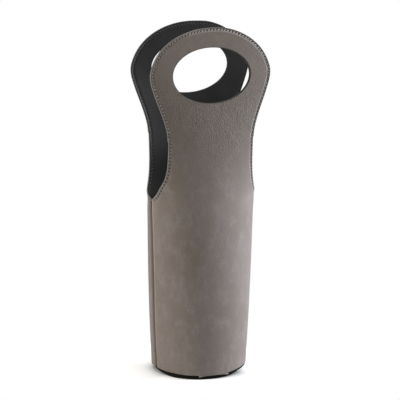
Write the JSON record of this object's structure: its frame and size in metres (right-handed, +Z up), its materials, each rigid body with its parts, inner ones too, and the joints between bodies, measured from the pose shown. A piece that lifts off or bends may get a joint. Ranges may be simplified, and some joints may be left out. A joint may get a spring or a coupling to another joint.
{
  "type": "bottle carrier",
  "caption": "Tall stiff leather carrier for a bottle: a round-footed pocket sewn up its sides, with a neck and a ring-shaped grip handle rising from the front and the back panel.",
  "frame": {"origin": "middle of the foot's underside, on the ground", "axes": "+Z up along the pocket, +X to the carrier's right seen from the front, +Y from the front panel to the back panel"},
  "size_m": [0.142, 0.1076, 0.395],
  "materials": {
    "skin": "matte",
    "board": "matte",
    "lining": "matte",
    "thread": "matte",
    "foot": "matte"
  },
  "bodies": {
    "pocket": {"front_outer_body": "skin", "front_board_body": "board", "front_lining_body": "lining", "front_body_stitches": "thread", "back_outer_body": "skin", "back_board_body": "board", "back_lining_body": "lining", "back_body_stitches": "thread", "left_seam_thread": "thread", "right_seam_thread": "thread", "foot_cover": "foot", "foot_welt": "foot", "foot_board": "board", "foot_lining": "lining", "foot_seam_thread": "thread"},
    "front_handle": {"front_outer_handle": "skin", "front_board_handle": "board", "front_lining_handle": "lining", "front_handle_stitches": "thread"},
    "back_handle": {"back_outer_handle": "skin", "back_board_handle": "board", "back_lining_handle": "lining", "back_handle_stitches": "thread"}
  },
  "joints": [
    {"name": "front_handle_flex", "type": "hinge", "parent": "pocket", "child": "front_handle", "pos_m": [0, -0.03533, 0.279], "axis": [1, 0, 0], "range_deg": [-12, 25], "stiffness_Nm_per_rad": 0.3},
    {"name": "back_handle_flex", "type": "hinge", "parent": "pocket", "child": "back_handle", "pos_m": [0, 0.03533, 0.279], "axis": [-1, 0, 0], "range_deg": [-12, 25], "stiffness_Nm_per_rad": 0.3}
  ]
}
